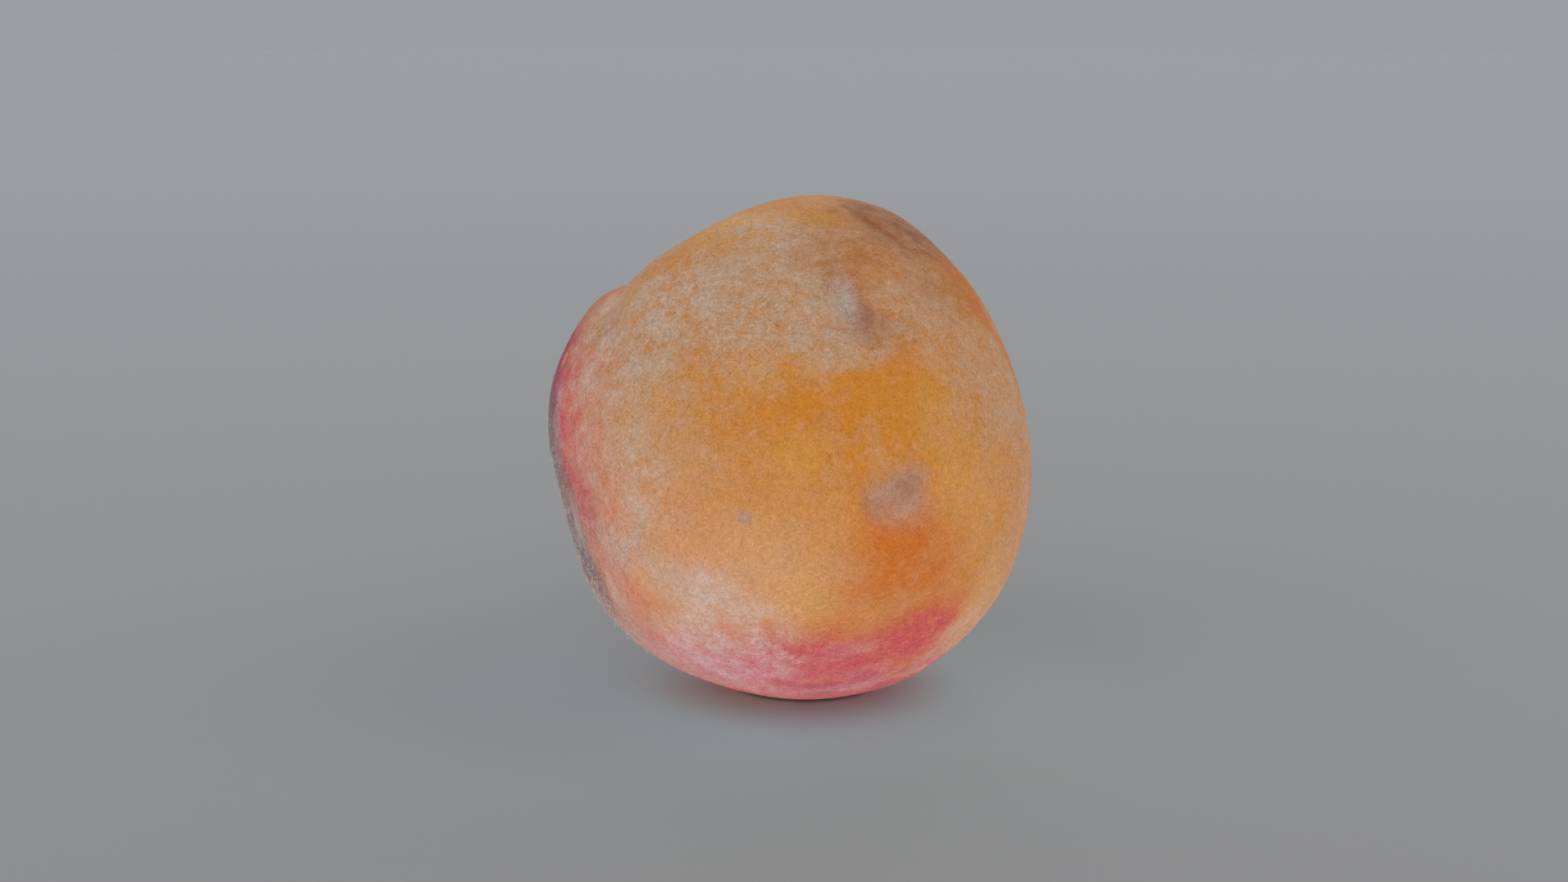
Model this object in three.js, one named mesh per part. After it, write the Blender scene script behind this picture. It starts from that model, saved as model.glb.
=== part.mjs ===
// A ripe peach lying on its lower shoulder, as one solid. Millimetres, +Z up. The origin is the middle of
// the small flat spot that the fruit rests on; -Y is the front and +X is to its right.
//
// The body is turned from one half-profile about the line from stem to tip, leaned over to the way the
// fruit lies, pressed in along its suture, then swollen or hollowed at a few named places.
import * as THREE from "three";
import { mergeVertices } from "three/addons/utils/BufferGeometryUtils.js";

// The half-profile, as distance from the stem-to-tip axis and height along it.
const height = 65; // stem shoulder to tip
const girth = { throughSuture: 66, acrossSuture: 68 }; // of the widest ring, which is a little oval
const stemCavity = { depth: 9.5, rimRadius: 12.5, floorRadius: 2.2 };
const tip = { radius: 1.6, length: 0.4 };

// How the fruit lies: the way its stem end points, and how far it is turned about that line.
const stemEnd = { azimuth: -136, elevation: 49 };
const suturePass = { azimuth: -34, elevation: 6 }; // a direction that the suture runs through
const restSpot = { x: 1.4, y: 0.4, below: 34.5 }; // the middle of the flat spot from the body's middle

// The suture: a groove from the stem cavity down one side, fading towards the tip.
const suture = { depthAtRim: 1.5, depthAtTip: 0.3, fade: 5, halfWidth: 3.2 };

// Swellings and hollows, in degrees from the front and above level, with the height in mm of each at its
// middle and the angle over which it dies away.
const swellings = [
  { azimuth: 60, elevation: -54, rise: 2.6, spread: 20 }, // beside the tip
  { azimuth: 95, elevation: 65, rise: 1.8, spread: 18 }, // right shoulder
  { azimuth: -88, elevation: 18, rise: 1, spread: 14 }, // left shoulder
  { azimuth: -104, elevation: 60, rise: -2.2, spread: 13 }, // between the shoulders
  { azimuth: -30, elevation: -62, rise: -1.2, spread: 14 }, // under side
  { azimuth: -76, elevation: -38, rise: 0.8, spread: 12 }, // left cheek
  { azimuth: -82, elevation: -8, rise: -0.6, spread: 12 }, // left flank
  { azimuth: 82, elevation: 0, rise: -0.8, spread: 18 }, // right flank
];

const aroundSteps = 88;
const alongSteps = 54;

const degrees = THREE.MathUtils.degToRad;

// The unit vector at an azimuth from the front, positive to the right, and an elevation above level.
function toward(azimuth, elevation) {
  const level = Math.cos(degrees(elevation));
  return new THREE.Vector3(
    Math.sin(degrees(azimuth)) * level,
    -Math.cos(degrees(azimuth)) * level,
    Math.sin(degrees(elevation)),
  );
}

function halfProfile() {
  const top = height / 2;
  const bottom = -height / 2;
  const floor = top - stemCavity.depth;
  const rim = stemCavity.rimRadius;
  const widest = girth.acrossSuture / 2;
  const curve = new THREE.SplineCurve(
    [
      [0, floor],
      [stemCavity.floorRadius, floor + 0.3],
      [rim * 0.42, floor + stemCavity.depth * 0.35],
      [rim * 0.7, top - stemCavity.depth * 0.22],
      [rim, top],
      [widest * 0.56, top - 1.4],
      [widest * 0.78, top * 0.74],
      [widest * 0.94, top * 0.42],
      [widest, top * 0.03],
      [widest * 0.95, bottom * 0.38],
      [widest * 0.8, bottom * 0.69],
      [widest * 0.55, bottom * 0.9],
      [widest * 0.27, bottom * 0.985],
      [tip.radius * 2, bottom],
      [tip.radius, bottom - tip.length * 0.6],
      [0, bottom - tip.length],
    ].map(([radius, along]) => new THREE.Vector2(radius, along)),
  );
  const points = curve.getSpacedPoints(alongSteps);
  points[0].x = 0;
  points[alongSteps].x = 0;
  return points.reverse(); // from tip to stem, so that the turned faces point outwards
}

// The fruit's own directions: the line to its stem, and the ways out through and across its suture.
const stemAxis = toward(stemEnd.azimuth, stemEnd.elevation);
const acrossSuture = toward(suturePass.azimuth, suturePass.elevation).cross(stemAxis).negate().normalize();
const sutureSide = new THREE.Vector3().crossVectors(acrossSuture, stemAxis);
const lean = new THREE.Matrix4().makeBasis(sutureSide, acrossSuture, stemAxis);

// How deep the suture is at a point of the body.
function sutureDepth(point) {
  const along = point.dot(stemAxis) / (height / 2);
  const outward = point.dot(sutureSide);
  const across = point.dot(acrossSuture);
  const onItsSide = THREE.MathUtils.smoothstep(outward, 0, stemCavity.rimRadius);
  const share = THREE.MathUtils.clamp((1 + along) / 2, 0, 1);
  const depth = THREE.MathUtils.lerp(suture.depthAtTip, suture.depthAtRim, share ** suture.fade);
  return depth * onItsSide * Math.exp(-0.5 * (across / suture.halfWidth) ** 2);
}

// How far the body stands out of, or in from, its turned shape in one direction.
function swelling(direction) {
  return swellings.reduce((sum, { azimuth, elevation, rise, spread }) => {
    const away = direction.angleTo(toward(azimuth, elevation));
    return sum + rise * Math.exp(-0.5 * (away / degrees(spread)) ** 2);
  }, 0);
}

function fruitGeometry() {
  const turned = new THREE.LatheGeometry(halfProfile(), aroundSteps);
  turned.deleteAttribute("normal");
  turned.deleteAttribute("uv");
  turned.rotateX(Math.PI / 2);
  turned.scale(girth.throughSuture / girth.acrossSuture, 1, 1);
  turned.applyMatrix4(lean);
  const fruit = mergeVertices(turned, 1e-3);
  const places = fruit.getAttribute("position");
  const point = new THREE.Vector3();
  for (let i = 0; i < places.count; i++) {
    point.fromBufferAttribute(places, i);
    const direction = point.clone().normalize();
    point.addScaledVector(direction, swelling(direction) - sutureDepth(point));
    point.x -= restSpot.x;
    point.y -= restSpot.y;
    point.z = Math.max(point.z + restSpot.below, 0);
    places.setXYZ(i, point.x, point.y, point.z);
  }
  fruit.computeVertexNormals();
  return fruit;
}

const peach = new THREE.Mesh(
  fruitGeometry(),
  new THREE.MeshStandardMaterial({ color: 0xb9835f, roughness: 0.85, metalness: 0 }),
);
peach.name = "peach";

const group = new THREE.Group();
group.add(peach);
export default group;
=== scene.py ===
import math

import bmesh
import bpy
import numpy as np
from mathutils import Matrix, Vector, noise


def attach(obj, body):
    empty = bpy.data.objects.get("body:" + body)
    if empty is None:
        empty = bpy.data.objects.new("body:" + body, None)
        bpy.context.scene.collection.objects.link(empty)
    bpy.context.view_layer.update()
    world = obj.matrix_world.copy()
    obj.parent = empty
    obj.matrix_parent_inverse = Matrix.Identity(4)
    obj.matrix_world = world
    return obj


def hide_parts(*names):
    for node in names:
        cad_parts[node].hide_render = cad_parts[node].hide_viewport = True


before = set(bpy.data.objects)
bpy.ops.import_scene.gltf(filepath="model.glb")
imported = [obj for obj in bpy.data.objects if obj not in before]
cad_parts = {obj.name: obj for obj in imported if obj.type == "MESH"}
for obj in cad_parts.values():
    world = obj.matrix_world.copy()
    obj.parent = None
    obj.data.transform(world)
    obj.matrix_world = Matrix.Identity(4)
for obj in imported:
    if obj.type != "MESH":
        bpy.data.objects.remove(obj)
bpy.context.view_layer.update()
mm = 0.001

# How the fruit lies, in millimetres, and in degrees from the front (right is plus) and above level
fruit = {
    "middle": (-1.4, -0.4, 34.5),
    "radius": 35,
    "stemEnd": (-136, 49),
    "suturePass": (-34, 6),
}


def toward(azimuth, elevation):
    around, up = math.radians(azimuth), math.radians(elevation)
    return Vector((math.sin(around) * math.cos(up), -math.cos(around) * math.cos(up), math.sin(up)))


def fade(low, high, values):  # 0 below low, 1 above high, soft between
    share = np.clip((values - low) / (high - low), 0, 1)
    return share * share * (3 - 2 * share)


middle = Vector(fruit["middle"]) * mm
stemAxis = toward(*fruit["stemEnd"])
acrossSuture = stemAxis.cross(toward(*fruit["suturePass"])).normalized()
sutureSide = acrossSuture.cross(stemAxis)


# Nodes

def linear(*colour):  # a display colour of 0 to 255 as the shader's own
    shares = [c / 255 for c in colour]
    return tuple(s / 12.92 if s <= 0.04045 else ((s + 0.055) / 1.055) ** 2.4 for s in shares)


def opaque(colour):
    return (*linear(*colour), 1)


def addNode(tree, kind, inputs=None, **settings):
    node = tree.nodes.new(kind)
    for name, value in settings.items():
        setattr(node, name, value)
    for name, value in (inputs or {}).items():
        if isinstance(value, bpy.types.NodeSocket):
            tree.links.new(value, node.inputs[name])
        else:
            node.inputs[name].default_value = value
    return node


def sums(tree, operation, first, second=0.0, third=0.0, clamp=False):
    inputs = {0: first, 1: second, 2: third}
    return addNode(tree, "ShaderNodeMath", inputs, operation=operation, use_clamp=clamp).outputs[0]


def vectors(tree, operation, first, second=(0, 0, 0), third=(0, 0, 0)):
    inputs = {0: first, 1: second, 2: third}
    return addNode(tree, "ShaderNodeVectorMath", inputs, operation=operation).outputs[0]


def scaled(tree, vector, share):
    inputs = {0: vector, "Scale": share}
    return addNode(tree, "ShaderNodeVectorMath", inputs, operation="SCALE").outputs[0]


def mixed(tree, share, first, second, way="MIX"):
    inputs = {"Factor": share, 6: first, 7: second}
    return addNode(tree, "ShaderNodeMix", inputs, data_type="RGBA", blend_type=way).outputs[2]


def plainMaterial(name, colour, roughness, specular):
    material = bpy.data.materials.new(name)
    material.use_nodes = True
    shader = material.node_tree.nodes["Principled BSDF"]
    shader.inputs["Base Color"].default_value = (*colour, 1)
    shader.inputs["Roughness"].default_value = roughness
    shader.inputs["Specular IOR Level"].default_value = specular
    return material


# Camera. Millimetres, and metres for what it clips.

lookout = {
    "elevation": 12,
    "distance": 312.6,
    "aim": (-2.7, 0.4, 36.4),
    "lens": 50,
    "sensorWidth": 36,
    "nearest": 0.01,
    "farthest": 20,
}


def setCamera():
    camera = bpy.data.objects.new("camera", bpy.data.cameras.new("camera"))
    camera.data.lens = lookout["lens"]
    camera.data.sensor_width = lookout["sensorWidth"]
    camera.data.clip_start = lookout["nearest"]
    camera.data.clip_end = lookout["farthest"]
    back = toward(0, lookout["elevation"])
    camera.location = Vector(lookout["aim"]) * mm + back * lookout["distance"] * mm
    camera.rotation_mode = "QUATERNION"
    camera.rotation_quaternion = (-back).to_track_quat("-Z", "Y")
    bpy.context.scene.collection.objects.link(camera)
    bpy.context.scene.camera = camera


# Floor, sky and lights. Metres.

studio = {
    "floorRadius": 3.0,
    "floorRoughness": 0.9,
    "floorSpecular": 0.1,
    "floorNear": (0.303, 0.3, 0.303),  # the floor's colour in front, where its paling starts
    "floorFar": (0.357, 0.368, 0.374),
    "floorPales": (0.15, 1.2),  # over these distances from there, in metres
    "palesFrom": (0, -0.2, 0),
    "floorUnderPaintedLight": (0.335, 0.47, 0.49),  # painted light by the fruit, against its shadow and red reflection
    "underRadius": 0.022,
    "underFade": 0.017,
    "sky": (0.325, 0.345, 0.36),
    # azimuth, elevation, strength, spread of the sun in degrees
    "suns": {
        "key": (-30, 22, 1.55, 90),
        "fill": (50, 12, 1.2, 100),
        "rimLeft": (-140, 20, 0.65, 120),
        "rimRight": (140, 20, 0.85, 120),
    },
    # a reflector lying on the table, under the fruit
    "bounceRadius": 0.22,
    "bouncePower": 0.34,
    "bounceHeight": 0.5 * mm,
}


def floorMaterial():
    material = plainMaterial("studioFloor", studio["floorFar"], roughness=studio["floorRoughness"],
                             specular=studio["floorSpecular"])
    tree = material.node_tree
    place = addNode(tree, "ShaderNodeTexCoord").outputs["Object"]

    def distanceTo(point):
        inputs = {0: place, 1: point}
        return addNode(tree, "ShaderNodeVectorMath", inputs, operation="DISTANCE").outputs["Value"]

    near, far = (math.log10(distance) for distance in studio["floorPales"])
    away = sums(tree, "LOGARITHM", distanceTo(studio["palesFrom"]), 10)
    share = addNode(tree, "ShaderNodeMapRange", {"Value": away, "From Min": near, "From Max": far}).outputs[0]
    colour = mixed(tree, share, (*studio["floorNear"], 1), (*studio["floorFar"], 1))
    # Painted light: the floor is paler and bluer right by the fruit, against its shadow and red reflection.
    away = distanceTo((0, 0, 0))
    fall = sums(tree, "DIVIDE", sums(tree, "SUBTRACT", studio["underRadius"], away), studio["underFade"])
    colour = mixed(tree, sums(tree, "EXPONENT", fall, clamp=True), colour, (*studio["floorUnderPaintedLight"], 1))
    tree.links.new(colour, tree.nodes["Principled BSDF"].inputs["Base Color"])
    return material


def setSky():
    world = bpy.data.worlds.new("studioSky")
    world.use_nodes = True
    world.node_tree.nodes["Background"].inputs["Color"].default_value = (*studio["sky"], 1)
    bpy.context.scene.world = world
    bpy.context.scene.view_settings.view_transform = "Standard"


def setFloor():
    mesh = bpy.data.meshes.new("studioFloor")
    form = bmesh.new()
    bmesh.ops.create_circle(form, cap_ends=True, segments=128, radius=studio["floorRadius"])
    form.to_mesh(mesh)
    form.free()
    mesh.materials.append(floorMaterial())
    floor = bpy.data.objects.new("studioFloor", mesh)
    bpy.context.scene.collection.objects.link(floor)


def setLights():
    for name, (azimuth, elevation, strength, spread) in studio["suns"].items():
        light = bpy.data.lights.new(name, "SUN")
        light.energy = strength
        light.angle = math.radians(spread)
        sun = bpy.data.objects.new(name, light)
        sun.rotation_mode = "QUATERNION"
        sun.rotation_quaternion = toward(azimuth, elevation).to_track_quat("Z", "Y")
        bpy.context.scene.collection.objects.link(sun)

    card = bpy.data.lights.new("bounceCard", "AREA")
    card.shape = "DISK"
    card.size = 2 * studio["bounceRadius"]
    card.energy = studio["bouncePower"]
    bounce = bpy.data.objects.new("bounceCard", card)
    bounce.rotation_euler = (math.pi, 0, 0)
    bounce.location = (0, 0, studio["bounceHeight"])
    bounce.visible_camera = False
    bpy.context.scene.collection.objects.link(bounce)


# Skin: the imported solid's own mesh, joined up, rounded and given its small relief. Millimetres.

skin = {
    "mergeWithin": 0.01,
    "joinFlatness": 40,  # how flat and how square, in degrees, a pair of triangles is joined to one face
    "joinSquareness": 60,
    "roundings": 2,
    "waves": ((0.11, 0.14), (0.28, 0.05), (0.75, 0.022)),  # how many to a millimetre, and how high
    # azimuth, elevation, half-width, half-height, turn, softness, depth
    "dents": (
        (22, 3, 4.2, 4, 0, 0.9, 0.25),  # bruise
        (21.5, 43, 3, 3.6, 25, 0.9, 0.4),  # thumb mark, and the rub above it
        (17, 50, 2, 3.6, -8, 0.9, 0.2),
        (-10.6, -2, 1.2, 1, 0, 0.9, 0.12),
        (34, -18, 6, 5, 0, 1, 0.12),
        (96, 66, 9.5, 9, 0, 0.5, 0.12),  # brown patch on the shoulder, and the crease along its edge
        (57.6, 69, 1.1, 3, 2, 1, 0.16),
        (60, 62.7, 1.1, 3, 20, 1, 0.16),
        (66.5, 58, 1.1, 3.4, 45, 1, 0.1),
        (-96, 24, 6.5, 7.5, 0, 1, 0.55),  # left shoulder, then round by way of the top; a minus swells
        (-103, 45, 5, 4, 0, 1, -0.4),
        (-130, 72, 7, 6, 0, 1, 0.35),
        (120, 68, 7, 6, 0, 1, -0.5),
        (108, 54, 4, 4, 0, 1, 0.22),
        (99, 36, 5, 5, 0, 1, -0.2),
        (88, -8, 8, 7, 0, 1, 0.33),
        (-84, -26, 6, 5, 0, 1, -0.2),
    ),
    # The suture's fine line. Each pair is where something fades, out from the stem's line or along it.
    "sutureWidth": 1.5,
    "sutureDepth": 0.2,
    "sutureStartsOut": (3, 8),
    "sutureStartsAlong": (5, 26),
    "cavityStartsAlong": (8, 16),
    "cavityEndsOut": (10, 15),
    "cavityRidges": 11,
    "cavityRidgeHeight": 0.18,
    "cavityRidgesStart": (1.5, 5),
    "scarRadius": 2.6,
    "scarLip": 0.45,
    "scarLipWidth": 0.7,
    "scarPit": 0.9,
}


def roundedCopy(node):
    mesh = bpy.data.meshes.new(node + "Skin")
    form = bmesh.new()
    form.from_mesh(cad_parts[node].data)
    bmesh.ops.remove_doubles(form, verts=form.verts, dist=skin["mergeWithin"] * mm)
    bmesh.ops.join_triangles(form, faces=form.faces, angle_face_threshold=math.radians(skin["joinFlatness"]),
                             angle_shape_threshold=math.radians(skin["joinSquareness"]))
    form.to_mesh(mesh)
    form.free()
    piece = bpy.data.objects.new(node + "Skin", mesh)
    bpy.context.scene.collection.objects.link(piece)
    rounding = piece.modifiers.new("rounding", "SUBSURF")
    rounding.levels = rounding.render_levels = skin["roundings"]
    takeShape(piece)
    piece.data.shade_smooth()
    return piece


def takeShape(piece):  # the modifiers' result becomes the piece's own mesh
    bpy.context.view_layer.update()
    shape = bpy.data.meshes.new_from_object(piece.evaluated_get(bpy.context.evaluated_depsgraph_get()))
    piece.modifiers.clear()
    piece.data = shape
    shape.name = piece.name


def readPoints(mesh):
    points = np.empty(len(mesh.vertices) * 3)
    mesh.vertices.foreach_get("co", points)
    return points.reshape(-1, 3)


def blotStrength(directions, blot):  # how strong a soft oval on the fruit is in each direction
    azimuth, elevation, width, height, turn, softness, strength = blot
    centre = toward(azimuth, elevation)
    east = toward(azimuth + 90, 0)
    north = east.cross(centre) * -1
    x, y = (fruit["radius"] * (directions @ np.array(axis)) for axis in (east, north))
    spin = math.radians(turn)
    x, y = x * math.cos(spin) + y * math.sin(spin), y * math.cos(spin) - x * math.sin(spin)
    inside = 1 - fade(1 - softness, 1 + softness, np.hypot(x / width, y / height))
    return np.where(directions @ np.array(centre) > 0, strength * inside, 0)


def giveRelief(piece):
    mesh = piece.data
    points = (readPoints(mesh) - np.array(middle)) / mm
    normals = np.array([v.normal for v in mesh.vertices])
    height = np.zeros(len(points))
    for count, rise in skin["waves"]:
        height += [rise * noise.noise(Vector(p) * count) for p in points]

    directions = points / np.linalg.norm(points, axis=1)[:, None]
    for dent in skin["dents"]:
        height -= blotStrength(directions, dent)

    along, out, across = (points @ np.array(axis) for axis in (stemAxis, sutureSide, acrossSuture))
    groove = skin["sutureDepth"] * np.exp(-((across / skin["sutureWidth"]) ** 2))
    height -= groove * fade(*skin["sutureStartsOut"], out) * fade(*skin["sutureStartsAlong"], along)

    fromStem = np.hypot(out, across)
    stemSide = fade(*skin["cavityStartsAlong"], along)
    inCavity = stemSide * (1 - fade(*skin["cavityEndsOut"], fromStem))
    ridges = np.sin(skin["cavityRidges"] * np.arctan2(across, out))
    height += skin["cavityRidgeHeight"] * inCavity * ridges * fade(*skin["cavityRidgesStart"], fromStem)
    lip = np.exp(-(((fromStem - skin["scarRadius"]) / skin["scarLipWidth"]) ** 2))
    pit = 1 - fade(0, skin["scarRadius"], fromStem)
    height += stemSide * (skin["scarLip"] * lip - skin["scarPit"] * pit)

    points += normals * height[:, None]
    points = points * mm + np.array(middle)
    points[:, 2] = np.maximum(points[:, 2], 0)
    mesh.vertices.foreach_set("co", points.ravel())
    mesh.update()
    print("skin relief given to", len(points), "points")


# Where each colour of the skin lies. Each is an ink with its blots, and later colours lie over earlier ones.
# A blot is azimuth, elevation, half-width, half-height, turn, softness, strength. "sway" is the share of
# the grains' sway that an ink takes, where it isn't all. The pale ones are dust and down over the skin, so
# they thicken where the inks thin out.

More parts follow.
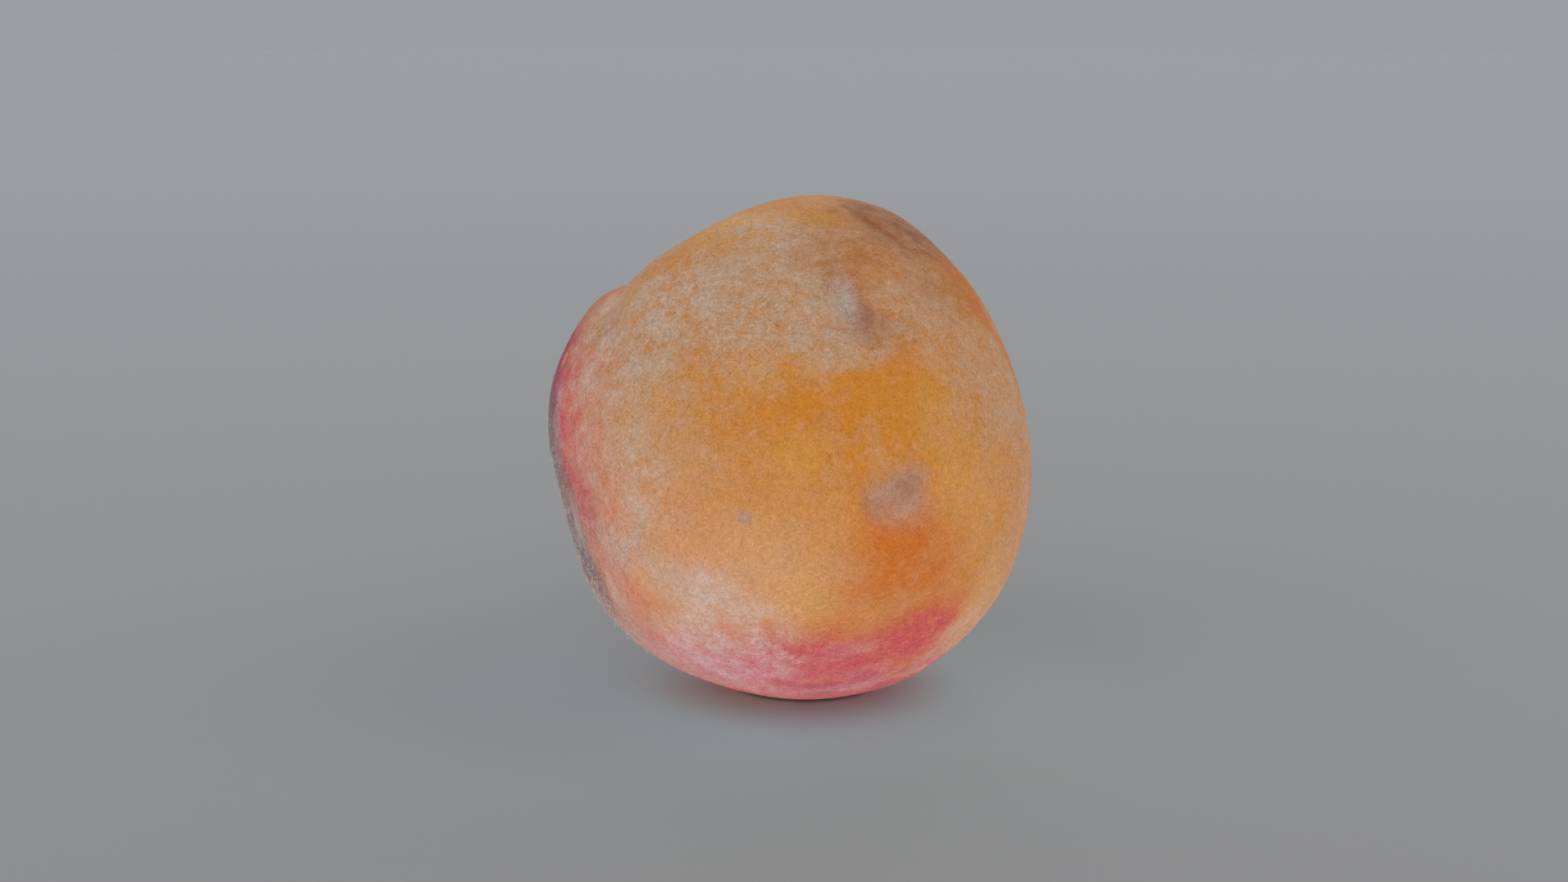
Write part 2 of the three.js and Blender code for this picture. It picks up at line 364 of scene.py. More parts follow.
colouring = {
    "base": (192, 136, 92),
    "baseWarm": (188, 120, 60),  # where ink gathers
    "warmSway": 0.5,
    "warmFrom": 0.35,
    # how many to a millimetre, and how far in millimetres the blots' edges stray
    "wander": ((0.1, 1.0), (0.35, 0.7), (0.9, 0.35)),
    "wanderSeed": 5,
    "layers": {
        "gold": {"ink": (195, 123, 40), "sway": 0.8, "blots": (
            (-12, 20, 13, 5.5, 0, 0.8, 0.4), (8, 19, 13, 7.5, -5, 0.8, 0.55),
            (27, 27, 7, 6, 10, 0.7, 0.95), (42, 12, 8, 9, 0, 0.9, 0.5), (-66, 62, 7, 3, 20, 0.8, 0.95),
            (-62, 73, 5, 4, 20, 0.8, 0.8), (31, 36, 4, 5, 0, 0.8, 0.6), (4, -27, 8, 4, 0, 0.9, 0.3),
            (6, 2, 9, 4, 0, 0.9, 0.15), (-12, 3, 7, 3, 0, 0.9, 0.35), (-25, 23, 6, 6, 0, 0.9, 0.45),
            (10, -19, 5, 3, 0, 0.9, 0.3), (2, 30, 5, 3, 0, 0.9, 0.4), (-72, 79, 5, 2.4, 0, 0.9, 0.6),
            (-66, 70, 4, 3, 0, 0.9, 0.6), (26, 33, 4, 3, 0, 0.9, 0.35), (-60, 45, 4, 4, 0, 0.9, 0.5),
            (-47, 58, 4, 3, 0, 0.9, 0.4), (40, 35, 5, 5, 0, 0.9, 0.3), (-26, 29, 5, 3.4, 0, 0.9, 0.45),
            (38, 58.6, 4.4, 3, 0, 0.9, 0.85), (48, -16, 7, 8, 0, 0.9, 0.35),
            (71, 42, 5.4, 9, 10, 0.8, 0.95), (80, 36, 4, 6, 0, 0.9, 0.4), (-60, 50, 3, 5, 0, 0.9, 0.5),
            (-52, 62, 6, 4, 20, 0.9, 0.8), (17, 75, 6, 3, 0, 0.9, 0.8), (58, -5, 4, 4.4, 0, 0.9, 0.5),
            (26, 12, 5, 4, 0, 0.9, 0.6), (15, 15, 10, 10, 0, 0.95, 0.3), (33, 34, 6, 4.4, 0, 0.9, 0.8),
            (32, 59, 5, 4, 0, 0.9, 0.6), (20, 55, 4, 4, 0, 0.9, 0.4), (9, 16, 5, 6, 0, 0.9, 0.7),
            (3, -3, 5, 4, 0, 0.9, 0.25), (22, 11, 6, 3, 0, 0.9, 0.5), (-16, 12, 6, 5, 0, 0.9, 0.3),
            (4, 34, 5, 3.4, 0, 0.9, 0.75), (6, 29, 4, 3.4, 0, 0.9, 0.35), (-60, 46, 4, 4, 0, 0.9, 0.4),
            (17, 8, 5, 4, 0, 0.9, 0.3), (-46, 59, 4.4, 2.6, 20, 0.9, 0.65), (80, 10, 5, 14, 0, 0.9, 0.5),
            (104, 24, 14, 16, 0, 0.8, 0.7), (128, -12, 16, 12, 0, 0.8, 0.7),
            (150, 30, 14, 12, 0, 0.9, 0.6), (-130, 76, 12, 9, 0, 0.8, 0.6), (176, 8, 12, 10, 0, 0.9, 0.5),
        )},
        "orange": {"ink": (195, 102, 26), "sway": 0.5, "blots": (
            (24, -10, 6.8, 7, 10, 0.9, 0.7), (14, -44, 12, 6, 0, 0.9, 0.5), (-36, 19, 4, 4, 0, 0.9, 0.6),
            (-31, -12, 5, 3, 0, 0.9, 0.4), (2, -31, 6, 3, 0, 0.9, 0.5),
            (15.5, -3, 2.4, 3.4, 0, 0.9, 0.35), (-26, -27, 4, 2.4, 0, 0.9, 0.3),
            (31, 33, 4, 3, 0, 0.9, 0.3), (34, -17, 6, 6, 30, 0.9, 0.4), (20, -20, 6, 5, 0, 0.9, 0.25),
            (18, -6, 4, 3, 0, 0.9, 0.3), (9, -29, 9, 3, 0, 0.9, 0.45), (79, 44, 4, 7, 0, 0.9, 0.6),
            (77, 38, 2.6, 6, 0, 0.9, 0.6), (83, 27, 3, 7, 0, 0.9, 0.6), (20, -7, 3, 3, 0, 0.9, 0.35),
            (-50, -24, 2.4, 3, 0, 0.9, 0.4), (-2, -34.7, 1.6, 2, 0, 0.9, 0.5),
            (-90, 44, 5, 4, 0, 0.9, 0.35), (37, -31, 4, 3, 15, 0.9, 0.35),
            (-40, -27, 3.6, 2.8, -30, 0.9, 0.6), (18, -31, 8, 3.4, 0, 0.9, 0.35),
            (42, -29, 6, 3.4, 15, 0.9, 0.5), (37, 58, 4, 3, 0, 0.9, 0.2), (21, 53.6, 2, 2, 0, 0.9, 0.35),
            (-46, -22, 2.6, 4.4, 30, 0.9, 0.45), (0, 20, 9, 4, 0, 0.9, 0.1), (33, -6, 5, 3, 0, 0.9, 0.3),
            (-46, -31, 5, 2.6, -30, 0.8, 0.3), (15, -5, 3, 3, 0, 0.9, 0.3), (98, -8, 9, 12, 0, 0.9, 0.6),
            (120, 50, 10, 8, 0, 0.9, 0.5), (-176, -14, 14, 8, 0, 0.9, 0.6),
            (-150, 20, 8, 10, 0, 0.9, 0.5),
        )},
        # pale yellow
        "straw": {"ink": (201, 148, 78), "sway": 0.8, "blots": (
            (-61, 67, 4, 4, 0, 0.9, 0.5), (-60, 77, 4, 3, 0, 0.9, 0.5), (-35, 71, 6, 4, 0, 0.9, 0.4),
            (-4, -14, 6, 7, 0, 0.9, 0.5), (-27, 8, 4, 3, 0, 0.9, 0.25), (3, -21, 3.4, 4, 0, 0.9, 0.5),
            (36, 1, 3, 5, 0, 0.9, 0.4), (19, -28, 2.6, 2.6, 0, 0.9, 0.4), (-36, 19, 6, 5, 0, 0.9, 0.45),
            (-30, -11, 5, 3, 0, 0.9, 0.35), (14, 75, 5, 2.4, 0, 0.9, 0.5), (11, -4, 3, 4, 0, 0.9, 0.35),
            (0, 12, 4, 4, 0, 0.9, 0.35), (-61, 44, 4, 4, 0, 0.9, 0.3), (2, -28, 5, 3, 0, 0.9, 0.3),
            (-14, -6, 5, 4, 0, 0.9, 0.3), (36, 18, 4, 6, 0, 0.9, 0.35), (-10, 30, 4, 3, 0, 0.9, 0.3),
            (46, -2, 4, 8, 0, 0.9, 0.35), (57, -29, 3.4, 6, 10, 0.9, 0.65), (110, -24, 8, 8, 0, 0.9, 0.5),
            (140, 10, 8, 10, 0, 0.9, 0.5),
        )},
        # dusty down
        "bloom": {"ink": (179, 148, 122), "pale": True, "blots": (
            (-22, 47, 13, 8, 0, 0.8, 0.6), (3, 46, 10, 5, 0, 0.8, 0.45), (-50, 35, 9, 8, 0, 0.8, 0.55),
            (-42, 8, 6, 13, 0, 0.9, 0.4), (45, 40, 8, 6, -20, 0.8, 0.3), (63, 20, 4, 11, 0, 0.9, 0.18),
            (-12, 64, 12, 5, 0, 0.9, 0.45), (-30, 75, 8, 2.6, 0, 0.9, 0.35),
            (16, 36, 5, 2.4, 0, 0.8, 0.55), (-51, -11, 7, 8, 0, 0.9, 0.6), (-8, 60, 6, 4, 0, 0.9, 0.3),
            (-11, 29, 5, 3, 0, 0.9, 0.2), (-29, -2, 3, 5, 0, 0.9, 0.2), (-36, 74, 5, 3, 0, 0.9, 0.1),
            (-68, 29, 3, 5, 20, 0.8, 0.65), (60, -10, 5, 9, 0, 0.9, 0.15), (74, 16, 3, 5, 0, 0.9, 0.35),
            (69, 5, 3, 8, 0, 0.9, 0.35), (40, 47, 4, 3, 0, 0.9, 0.3), (54, 22, 5, 6, 0, 0.9, 0.4),
            (48, 18.6, 3, 4.6, 0, 0.9, 0.4), (-74, 55, 4, 4.6, 0, 0.9, 0.35),
            (-22, 70.5, 4, 3, 0, 0.9, 0.3), (-4, 41.5, 3, 2.6, 0, 0.9, 0.4),
            (33, 42.4, 3, 2.4, 0, 0.9, 0.35), (56, 48, 3, 3, 0, 0.9, 0.3), (84, 33, 2, 4, 0, 0.9, 0.4),
            (72, 27, 2.4, 6, 0, 0.9, 0.4), (52, 60, 6, 4, -30, 0.9, 0.3), (-36, 50, 6, 4, 0, 0.9, 0.2),
            (-8, 74, 6, 3, 0, 0.9, 0.1), (-25, 16, 6, 5, 0, 0.9, 0.25), (110, 4, 9, 12, 0, 0.9, 0.5),
            (140, 44, 12, 9, 0, 0.9, 0.5), (168, -8, 12, 9, 0, 0.9, 0.5), (-160, 44, 8, 12, 0, 0.9, 0.4),
            (-104, 26, 9, 12, 0, 0.9, 0.4),
        )},
        "peach": {"ink": (205, 145, 104), "blots": (
            (-28, -22, 16, 13, 0, 0.9, 0.6), (-50, -10, 6, 9, 0, 0.9, 0.4),
        )},
        "cream": {"ink": (200, 178, 167), "sway": 1.1, "pale": True, "blots": (
            (-23, -21, 6.4, 3.8, -15, 0.8, 0.45), (-6, -28, 3, 3.4, 0, 0.9, 0.5),
            (55, -50, 2.6, 2.6, 0, 0.9, 0.3), (-46, -13, 3, 5, 0, 0.9, 0.35),
            (-46, 10, 6, 12, 0, 0.9, 0.15), (-35, 1, 4, 4, 0, 0.9, 0.2), (-19, -37, 8, 4, -6, 0.9, 0.5),
            (-17, -37, 7.4, 4.8, 0, 0.9, 0.85), (-34, 75, 5, 2.6, 0, 0.9, 0.25),
            (-72, 31, 4, 4, 0, 0.9, 0.3), (-43, -16, 4, 4, 0, 0.9, 0.15),
            (-82, 41, 2.4, 3.4, 0, 0.9, 0.4), (-62, 24, 5, 9, 10, 0.9, 0.3), (-61, 4, 4, 9, 20, 0.9, 0.3),
            (-53, -26, 2.4, 3, 0, 0.9, 0.4), (-44, 48, 5, 5, 0, 0.9, 0.25),
            (60, -36, 3.4, 6, 0, 0.9, 0.12), (56, -44, 3, 3, 0, 0.9, 0.35), (-10, -14, 8, 4, 0, 0.9, 0.1),
            (50, -36, 3, 3, 0, 0.9, 0.15), (90, -40, 8, 8, 0, 0.9, 0.5), (-130, -4, 10, 7, 0, 0.9, 0.4),
        )},
        "blush": {"ink": (194, 74, 80), "sway": 0.6, "blots": (
            (36, -35, 5.4, 3.8, 20, 0.8, 0.85), (26, -41, 8, 4.6, 10, 0.95, 0.6),
            (9, -45, 14, 7, 0, 0.95, 0.9), (1, -38, 5, 2.4, 0, 0.9, 0.5), (-9, -46, 5, 3, 0, 0.9, 0.5),
            (-4, -38, 3.4, 3, 0, 0.9, 0.5), (28, -63, 7, 4, 0, 0.9, 0.6), (-6, -49, 9, 5, 0, 0.8, 0.75),
            (20, -66, 17, 8, 0, 0.8, 0.95), (-42, -66, 15, 9, 0, 0.9, 0.85),
            (-54, -40, 5, 4, 20, 0.8, 0.6), (-58, -42, 4, 5, 0, 0.9, 0.4), (-8, -56, 6, 3, 0, 0.9, 0.4),
            (-24, -62, 6, 4, 0, 0.9, 0.4), (-82, 23, 4, 5, 25, 0.9, 0.95), (-78, 22, 2, 4, 20, 0.9, 0.4),
            (-74, 17, 3.4, 6, 25, 0.9, 0.8), (-71, 5, 3, 5, 30, 0.9, 0.65), (-64, 3, 3, 6, 20, 0.9, 0.4),
            (-67, 21, 2.4, 5, 20, 0.9, 0.3), (-66, -5, 2.4, 5, 30, 0.9, 0.6),
            (-62, -4, 3, 5, 30, 0.9, 0.4), (-58, -10, 2.6, 4, 20, 0.9, 0.5),
            (-56, -18, 3, 4, 20, 0.9, 0.25), (-44, -44, 5, 3, 0, 0.9, 0.25),
            (44, -53, 7, 2.4, 30, 0.9, 0.6), (-61, -28, 2.6, 4, 15, 0.8, 0.3),
            (-48, -23, 3, 4, 15, 0.9, 0.35), (-60, 14, 5, 9, 15, 0.9, 0.22),
            (-52, -3, 5, 7, 20, 0.9, 0.22), (-114, 32, 8, 9, 0, 0.8, 0.7), (-110, 4, 9, 12, 20, 1, 0.6),
            (-96, -34, 12, 9, 0, 0.8, 0.7), (-128, -28, 14, 10, 0, 0.8, 0.85),
            (-160, -44, 16, 9, 0, 0.8, 0.8), (-120, -62, 16, 10, 0, 0.8, 0.8),
            (150, -58, 16, 9, 0, 0.9, 0.75), (70, -66, 12, 8, 0, 0.8, 0.7),
            (-130, 22, 6, 9, 10, 0.9, 0.5),
        )},
        "wine": {"ink": (146, 56, 78), "blots": (
            (-83, 22, 3, 4.6, 20, 0.9, 0.9), (-79, 21, 2, 4, 20, 0.9, 0.55), (-88, 22, 4, 4, 0, 0.9, 0.6),
            (-80, 16, 2, 3.4, 20, 0.9, 0.3), (-50, -52, 6, 4, 0, 0.9, 0.12),
            (-69, -2, 2, 4, 20, 0.9, 0.3), (-58, -9, 2, 3, 20, 0.9, 0.3), (24, -62, 9, 4, 0, 0.9, 0.3),
            (2, -56, 12, 4, 0, 0.9, 0.1), (-94, 24, 7, 8, 10, 1, 0.55), (-100, 6, 7, 10, 0, 1, 0.5),
            (-96, -22, 9, 11, 0, 1, 0.5),
        )},
        # dust over the blush
        "frost": {"ink": (200, 152, 157), "sway": 0.7, "pale": True, "blots": (
            (-12, -50, 8, 2.2, 0, 0.9, 0.25), (-36, -47, 12, 6, 0, 0.9, 0.6),
            (34, -56, 9, 1.6, 20, 0.9, 0.15), (-6, -63, 10, 3, 0, 0.9, 0.4),
            (16, -39, 4, 2.4, 0, 0.9, 0.2), (27, -50, 4, 2, 0, 0.9, 0.25), (-20, -48, 8, 2, 0, 0.9, 0.4),
            (-28, -41, 6, 2, -10, 0.9, 0.4), (-110, -18, 10, 6, 0, 0.9, 0.5),
            (-146, -34, 12, 4, 10, 0.9, 0.4), (120, -50, 10, 4, 0, 0.9, 0.4),
            (-74.6, 13, 1.5, 4, 15, 0.8, 0.9), (-70, 11, 1.4, 2.6, 15, 0.9, 0.1),
        )},
        # painted shade: the dark strip down the left side
        "paintedShadeGrey": {"ink": (108, 87, 90), "sway": 0.35, "blots": (
            (-85, 7, 5.6, 7, 15, 0.8, 0.95), (-79, -7, 6, 8, 15, 0.8, 1), (-71, -21, 5.4, 7, 20, 0.8, 1),
            (-66, -12, 2.4, 4, 15, 0.9, 0.4), (-68, -24, 4, 5, 20, 0.9, 0.5),
            (-85, -22, 5.4, 9, 15, 0.9, 0.9), (-80, -40, 6, 6, 15, 0.9, 0.5),
            (-66, -35, 4, 6, 20, 0.8, 0.4), (-66, 38, 2.4, 3, 0, 0.9, 0.2), (-77, 9, 2.4, 5, 0, 0.9, 0.3),
            (-75, -17, 3, 4, 10, 0.9, 0.5), (-91, 0, 5, 11, 12, 0.95, 0.7), (-103, -8, 9, 9, 0, 1, 0.22),
        )},
        # the bruise, the speck and other worn places
        "ash": {"ink": (174, 140, 126), "sway": 0.5, "pale": True, "blots": (
            (22.6, 3.2, 3.9, 3.6, 0, 0.5, 0.55), (28.4, 6.4, 1.6, 1, -20, 0.7, 0.3),
            (17.6, 48.4, 2, 3.4, -8, 0.7, 0.4), (-10.6, -2, 1.2, 0.9, 0, 0.6, 0.8),
            (12, 42, 3, 2, 0, 0.9, 0.3), (-59, -40, 5, 5, 0, 0.9, 0.4), (-56, -8, 4, 8, 15, 0.9, 0.35),
            (25, -2, 3, 2, 0, 0.9, 0.3), (-43, -14, 4, 4, 0, 0.9, 0.3), (-51, -32, 5, 4, 0, 0.9, 0.3),
            (86, 60.4, 3.4, 2.4, -20, 0.9, 0.3), (-47, -56, 5, 4, 0, 0.9, 0.3),
            (-60, -46, 5, 5, 0, 0.9, 0.45),
        )},
        # the dark middles of the bruise and the speck, and painted shade in the thumb mark's dent
        "mauveAndDentShade": {"ink": (147, 100, 82), "sway": 0.5, "blots": (
            (23.6, 3.8, 2, 1.7, 0, 0.8, 0.55), (17.6, 1.8, 1.1, 2, 10, 0.9, 0.35),
            (21, 43.6, 2.3, 3.2, 25, 0.9, 0.75), (-10.2, -3, 0.7, 0.4, 0, 0.8, 0.4),
            (-118, -8, 2.4, 2, 0, 0.8, 0.5),
        )},
        # a brown patch on the shoulder, and a tan round it
        "brown": {"ink": (134, 88, 64), "sway": 0.6, "blots": (
            (96, 65.6, 9, 8.2, 0, 0.4, 0.7), (34, 65, 8, 3.4, -10, 0.9, 0.3), (20, 55, 4, 4, 0, 0.9, 0.4),
            (28, 40, 5, 3, 0, 0.9, 0.2), (64, 53, 8, 7, -30, 0.9, 0.35),
            (50, 69.5, 3.4, 2.4, -30, 0.9, 0.4), (30, 75, 6, 3, 0, 0.9, 0.25),
        )},
        # painted shade along the crease at the edge of the brown patch
        "creaseShade": {"ink": (146, 82, 42), "sway": 0.6, "blots": (
            (57.6, 69, 0.7, 2.8, 2, 0.8, 0.8), (59.6, 62.7, 0.5, 2.6, 20, 0.8, 0.85),
            (66, 58, 0.5, 3.2, 45, 0.8, 0.7), (60, 73, 2.6, 1.6, 20, 0.9, 0.5),
            (70, 66, 2, 1.4, 20, 0.9, 0.35), (88, 58, 3, 1.2, 30, 0.9, 0.3),
        )},
        # dark specks along the crease
        "bark": {"ink": (112, 82, 62), "sway": 0.6, "blots": (
            (66, 77.6, 0.9, 0.5, 20, 0.8, 0.6), (57, 74.6, 0.8, 0.6, 0, 0.8, 0.5),
            (52, 72, 0.7, 0.4, 20, 0.8, 0.4), (78, 76, 1, 0.5, 40, 0.8, 0.4),
            (62, 75, 0.5, 0.9, 10, 0.8, 0.5), (70, 72, 0.4, 0.8, 30, 0.8, 0.4),
            (44, 77.4, 0.8, 0.4, 10, 0.8, 0.5), (56, 71.4, 0.6, 1, 0, 0.8, 0.4),
            (46, 74.5, 0.7, 0.4, 0, 0.8, 0.3),
        )},
        # the rub above the thumb mark, and two fainter ones
        "rubbed": {"ink": (174, 160, 150), "sway": 0.5, "blots": (
            (17, 48.8, 1.5, 3, -8, 0.8, 0.7), (-26, -19, 5, 2.6, -20, 0.9, 0.25),
            (-66, -12, 1.5, 3.4, 15, 0.8, 0.5),
        )},
        # yellow-green round the stem
        "stalky": {"ink": (168, 146, 78), "blots": (
            (-136, 49, 11, 11, 0, 0.6, 0.8),
        )},
        # where the stem was
        "scar": {"ink": (98, 66, 44), "sway": 0.5, "blots": (
            (-136, 49, 3.4, 3.4, 0, 0.3, 0.9),
        )},
    },
}


def layColours(piece):
    points = (readPoints(piece.data) - np.array(middle)) / mm
    noise.seed_set(colouring["wanderSeed"])
    for count, stray in colouring["wander"]:
        points = points + stray * np.array([noise.noise_vector(Vector(p) * count) for p in points])
    directions = points / np.linalg.norm(points, axis=1)[:, None]
    for name, layer in colouring["layers"].items():
        bare = np.ones(len(points))
        for blot in layer["blots"]:
            bare *= 1 - blotStrength(directions, blot)
        cover = piece.data.attributes.new(name, "FLOAT", "POINT")
        cover.data.foreach_set("value", (1 - bare).astype(np.float32))
    print("colours laid:", ", ".join(colouring["layers"]))


# Skin material

grain = {
    "patch": {"Scale": 0.2, "Detail": 3.0, "Roughness": 0.55},
    "clump": {"Scale": 0.5, "Detail": 3.0, "Roughness": 0.6},
    "felt": {"Scale": 1.3, "Detail": 3.0, "Roughness": 0.65, "Distortion": 0.5},
    "bend": {"Scale": 0.4, "Detail": 1.0, "Roughness": 0.5},
    "bendBy": 2.0,  # millimetres
    "threads": {"Scale": 1.0, "Detail": 2.0, "Roughness": 0.5, "Distortion": 0.4},
    # how fine each set of threads is along its own three directions, and its turn
    "threadLays": (
        ((1.6, 4.8, 4.8), (25, 35, 40)),
        ((4.8, 1.6, 4.8), (-30, 40, -25)),
        ((4.8, 4.8, 1.6), (40, -35, 20)),
    ),
    # how much each grain sways the inks
    "inkSway": {"patch": 3.3, "clump": 2.4, "felt": 0.6},
    # how much each grain lightens the skin, or with a minus darkens it where ink gathers
    "toneSway": {"clump": -0.1, "felt": -0.6, "threads": 1.65},
    "evenTone": 0.97,
    "toneTint": (0.92, 1.0, 1.4),  # the dark of it is warm, and the light of it is pale
    # the share of that light and dark which shows, and what some colours add to it
    "toneElsewhere": 0.85,
    "toneOver": {"bloom": 0.5, "blush": 0.4},
    "bumpFelt": 0.8,  # against the threads
    "bumpStrength": 0.7,
    "bumpDepth": 0.1,  # millimetres
}

pores = {
    "cells": {"Scale": 0.85, "Randomness": 1.0},
    "middle": 0.08,  # in cells, and there a pore is darkest
    "edge": 0.2,
    "pickedBy": 2.0,  # this times a cell's own random value, less the next
    "pickedFrom": 0.8,
    "strength": 0.4,
    "ink": (132, 70, 40),
}

finish = {
    "Roughness": 0.75,
    "Specular IOR Level": 0.15,
    "Sheen Weight": 0.05,
    "Sheen Roughness": 0.5,
    "Sheen Tint": (0.95, 0.85, 0.8, 1),
}


def laidIn(tree, vector, scale, turn=(0, 0, 0)):
    inputs = {"Vector": vector, "Scale": scale, "Rotation": tuple(math.radians(angle) for angle in turn)}
    return addNode(tree, "ShaderNodeMapping", inputs).outputs[0]


def grainsOf(tree, place):
    def noiseOf(name, vector, output="Fac"):
        return addNode(tree, "ShaderNodeTexNoise", {"Vector": vector, **grain[name]}).outputs[output]

    grains = {name: noiseOf(name, place) for name in ("patch", "clump", "felt")}
    # The threads wind about, because the space they lie in is bent first.
    bend = vectors(tree, "SUBTRACT", noiseOf("bend", place, "Color"), (0.5, 0.5, 0.5))
    bent = vectors(tree, "MULTIPLY_ADD", bend, (grain["bendBy"],) * 3, place)
    threads = 0.0
    for scale, turn in grain["threadLays"]:
        strands = noiseOf("threads", laidIn(tree, bent, scale, turn))
        threads = sums(tree, "MULTIPLY_ADD", strands, 1 / len(grain["threadLays"]), threads)
    grains["threads"] = threads
    return grains


def swayOf(tree, grains, amounts):  # the named grains together, swinging about nought
    total = 0.0
    for name, amount in amounts.items():
        total = sums(tree, "ADD", total, sums(tree, "MULTIPLY_ADD", grains[name], amount, -amount / 2))
    return total


def coverOf(tree, name):
    return addNode(tree, "ShaderNodeAttribute", attribute_name=name).outputs["Fac"]


def inkedColour(tree, grains):
    inkShare = sums(tree, "ADD", 1.0, swayOf(tree, grains, grain["inkSway"]))
    paleShare = sums(tree, "SUBTRACT", 2.0, inkShare)
    warmth = sums(tree, "MULTIPLY_ADD", inkShare, colouring["warmSway"], -colouring["warmFrom"], clamp=True)
    colour = mixed(tree, warmth, opaque(colouring["base"]), opaque(colouring["baseWarm"]))
    for name, layer in colouring["layers"].items():
        share = paleShare if "pale" in layer else inkShare
        sways = layer.get("sway", 1)
        share = sums(tree, "MULTIPLY_ADD", share, sways, 1 - sways)
        share = sums(tree, "MULTIPLY", coverOf(tree, name), share, clamp=True)
        colour = mixed(tree, share, colour, opaque(layer["ink"]))
    return colour


def toned(tree, grains, colour):  # lighter and darker by the grains, most where bloom or blush is thick
    strength = grain["toneElsewhere"]
    for name, more in grain["toneOver"].items():
        strength = sums(tree, "MULTIPLY_ADD", coverOf(tree, name), more, strength)
    tone = sums(tree, "MULTIPLY", swayOf(tree, grains, grain["toneSway"]), strength)
    channels = [sums(tree, "MULTIPLY_ADD", tone, tint, grain["evenTone"]) for tint in grain["toneTint"]]
    light = addNode(tree, "ShaderNodeCombineColor", dict(enumerate(channels))).outputs[0]
    return mixed(tree, 1.0, colour, light, "MULTIPLY")


def poredColour(tree, place, colour):  # with a dark pore in the middle of some cells
    cell = addNode(tree, "ShaderNodeTexVoronoi", {"Vector": place, **pores["cells"]}).outputs
    spot = addNode(tree, "ShaderNodeMapRange", {
        "Value": cell["Distance"], "From Min": pores["middle"], "From Max": pores["edge"],
        "To Min": 1, "To Max": 0}).outputs[0]
    picked = addNode(tree, "ShaderNodeSeparateColor", {0: cell["Color"]}).outputs[0]
    picked = sums(tree, "MULTIPLY_ADD", picked, pores["pickedBy"], -pores["pickedFrom"], clamp=True)
    share = sums(tree, "MULTIPLY", sums(tree, "MULTIPLY", spot, picked), pores["strength"])
    return mixed(tree, share, colour, opaque(pores["ink"]))


def skinMaterial():
    material = bpy.data.materials.new("peachSkin")
    material.use_nodes = True
    tree = material.node_tree
    shader = tree.nodes["Principled BSDF"]
    for name, value in finish.items():
        shader.inputs[name].default_value = value
    place = addNode(tree, "ShaderNodeTexCoord").outputs["Object"]
    inMillimetres = laidIn(tree, place, (1 / mm,) * 3)
    grains = grainsOf(tree, inMillimetres)
    colour = toned(tree, grains, inkedColour(tree, grains))
    tree.links.new(poredColour(tree, inMillimetres, colour), shader.inputs["Base Color"])
    height = sums(tree, "MULTIPLY_ADD", grains["felt"], grain["bumpFelt"], grains["threads"])
    bump = addNode(tree, "ShaderNodeBump", {
        "Height": height, "Strength": grain["bumpStrength"], "Distance": grain["bumpDepth"] * mm})
    tree.links.new(bump.outputs[0], shader.inputs["Normal"])
    return material


# Down: short hairs, each a thin three-sided spike, in coats that take after the skin under them, and
# longer wisps over the painted shade at the left. "upright" is against the hairs' loose lie on the skin.
# "cover" is how far each colour of the skin thickens a coat, or with a minus thins it. Millimetres.

down = {
    "clearOfFloor": 0.7,
    "rootSink": 0.03,
    "combed": 0.2,  # towards the tip of the fruit
    "firstSeed": 1,
    "seedStep": 10,  # from coat to coat
    "coats": {
        "downPale": {
            "perSquareCentimetre": 520, "length": (0.2, 0.5), "thickness": 0.018, "upright": 0.6,
            "colour": (204, 178, 156), "elsewhere": 0.04,
            "cover": {"bloom": 1, "cream": 1, "frost": 1, "ash": 1},
        },
        "downGold": {
            "perSquareCentimetre": 330, "length": (0.15, 0.4), "thickness": 0.018, "upright": 0.6,
            "colour": (202, 144, 86), "elsewhere": 1,
            "cover": {
                "bloom": -0.7, "cream": -0.5, "blush": -0.9, "wine": -1, "paintedShadeGrey": -1.5,
                "brown": -0.8, "bark": -1,
            },
        },
        "downRose": {
            "perSquareCentimetre": 420, "length": (0.15, 0.4), "thickness": 0.018, "upright": 0.6,
            "colour": (202, 112, 112), "elsewhere": 0.03,
            "cover": {"blush": 1, "frost": 0.4, "paintedShadeGrey": -1.5},
        },
        "downWisps": {
            "perSquareCentimetre": 380, "length": (0.6, 1.6), "thickness": 0.037, "upright": 0.1,
            "colour": (206, 190, 184), "elsewhere": 0,
            "cover": {"paintedShadeGrey": 1},
        },
    },
}


def hairDensity(tree, coat):  # in hairs to a square metre
    share = coat["elsewhere"]
    for layer, weight in coat["cover"].items():
        cover = addNode(tree, "GeometryNodeInputNamedAttribute", {"Name": layer}, data_type="FLOAT")
        share = sums(tree, "MULTIPLY_ADD", cover.outputs[0], weight, share)
    share = sums(tree, "MINIMUM", sums(tree, "MAXIMUM", share, 0.0), 1.0)
    return sums(tree, "MULTIPLY", share, coat["perSquareCentimetre"] * 100 ** 2)


def hairRoots(tree, carrier, density, seed):
    place = addNode(tree, "GeometryNodeInputPosition").outputs[0]
    height = addNode(tree, "ShaderNodeSeparateXYZ", {0: place}).outputs["Z"]
    clear = sums(tree, "GREATER_THAN", height, down["clearOfFloor"] * mm)
    return addNode(tree, "GeometryNodeDistributePointsOnFaces", {
        "Mesh": carrier, "Selection": clear, "Density": density, "Seed": seed}).outputs


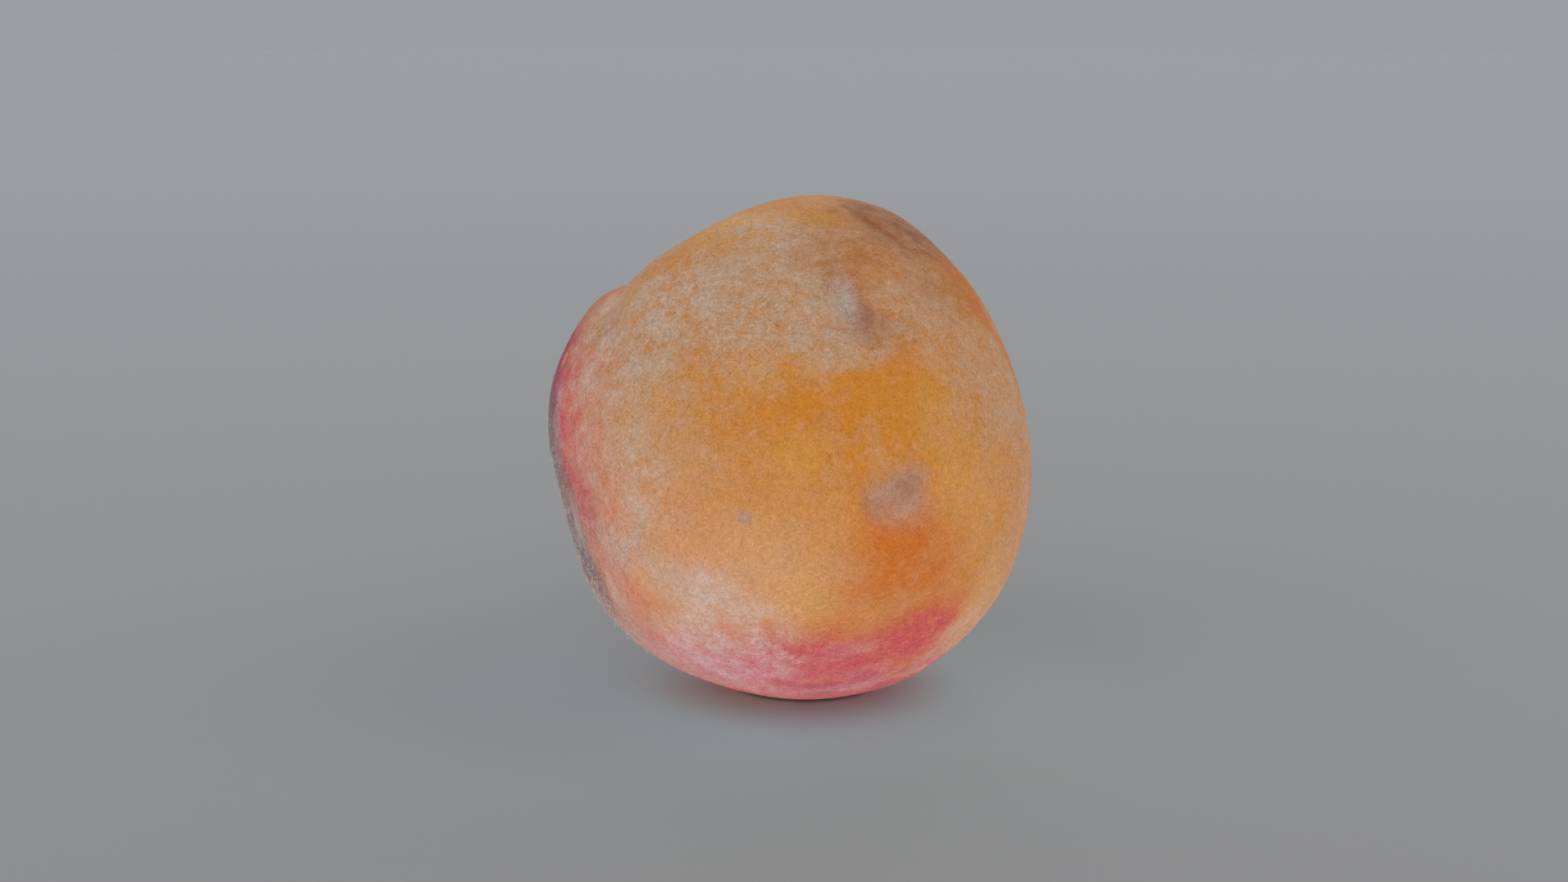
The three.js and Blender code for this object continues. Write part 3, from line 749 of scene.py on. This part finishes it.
def hairLie(tree, coat, upward, seed):  # loose over the skin, a little upright, and combed
    loose = addNode(tree, "FunctionNodeRandomValue", {0: (-1, -1, -1), 1: (1, 1, 1), "Seed": seed},
                    data_type="FLOAT_VECTOR").outputs[0]
    into = addNode(tree, "ShaderNodeVectorMath", {0: loose, 1: upward}, operation="DOT_PRODUCT")
    flat = vectors(tree, "SUBTRACT", loose, scaled(tree, upward, into.outputs["Value"]))
    lean = vectors(tree, "ADD", flat, scaled(tree, upward, coat["upright"]))
    lean = vectors(tree, "ADD", lean, tuple(-down["combed"] * axis for axis in stemAxis))
    return addNode(tree, "FunctionNodeAlignRotationToVector", {"Vector": lean}, axis="Z").outputs[0]


def hairSize(tree, coat, seed):
    shortest, longest = (length * mm for length in coat["length"])
    length = addNode(tree, "FunctionNodeRandomValue", {2: shortest, 3: longest, "Seed": seed},
                     data_type="FLOAT").outputs[1]
    thickness = coat["thickness"] * mm
    return addNode(tree, "ShaderNodeCombineXYZ", {0: thickness, 1: thickness, 2: length}).outputs[0]


def hairGrowth(name, seed):
    coat = down["coats"][name]
    tree = bpy.data.node_groups.new(name, "GeometryNodeTree")
    tree.interface.new_socket("Geometry", in_out="INPUT", socket_type="NodeSocketGeometry")
    tree.interface.new_socket("Geometry", in_out="OUTPUT", socket_type="NodeSocketGeometry")
    begin, end = tree.nodes.new("NodeGroupInput"), tree.nodes.new("NodeGroupOutput")

    roots = hairRoots(tree, begin.outputs[0], hairDensity(tree, coat), seed)
    sunk = scaled(tree, roots["Normal"], -down["rootSink"] * mm)
    placed = addNode(tree, "GeometryNodeSetPosition", {"Geometry": roots["Points"], "Offset": sunk})
    spike = addNode(tree, "GeometryNodeMeshCone", {
        "Vertices": 3, "Side Segments": 1, "Fill Segments": 1,
        "Radius Top": 0, "Radius Bottom": 1, "Depth": 1}).outputs["Mesh"]
    grown = addNode(tree, "GeometryNodeInstanceOnPoints", {
        "Points": placed.outputs[0],
        "Instance": spike,
        "Rotation": hairLie(tree, coat, roots["Normal"], seed + 1),
        "Scale": hairSize(tree, coat, seed + 2),
    }).outputs[0]
    real = addNode(tree, "GeometryNodeRealizeInstances", {0: grown}).outputs[0]
    tree.links.new(real, end.inputs[0])
    return tree


def spreadDown(name, carrier, seed):
    piece = bpy.data.objects.new(name, carrier.data.copy())
    bpy.context.scene.collection.objects.link(piece)
    piece.modifiers.new("growth", "NODES").node_group = hairGrowth(name, seed)
    takeShape(piece)
    piece.data.materials.clear()
    colour = linear(*down["coats"][name]["colour"])
    piece.data.materials.append(plainMaterial(name, colour, roughness=1, specular=0))
    print(name, "hairs:", len(piece.data.vertices) // 4)
    return piece


# Put it together

setCamera()
setSky()
setFloor()
setLights()
print("studio set")
peachSkin = roundedCopy("peach")
giveRelief(peachSkin)
layColours(peachSkin)
peachSkin.data.materials.clear()
peachSkin.data.materials.append(skinMaterial())
pieces = [peachSkin]
for order, name in enumerate(down["coats"]):
    pieces.append(spreadDown(name, peachSkin, seed=down["firstSeed"] + down["seedStep"] * order))
for piece in pieces:
    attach(piece, "root")
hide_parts("peach")
for piece in pieces:
    print(piece.name, "triangles:", sum(len(face.vertices) - 2 for face in piece.data.polygons))
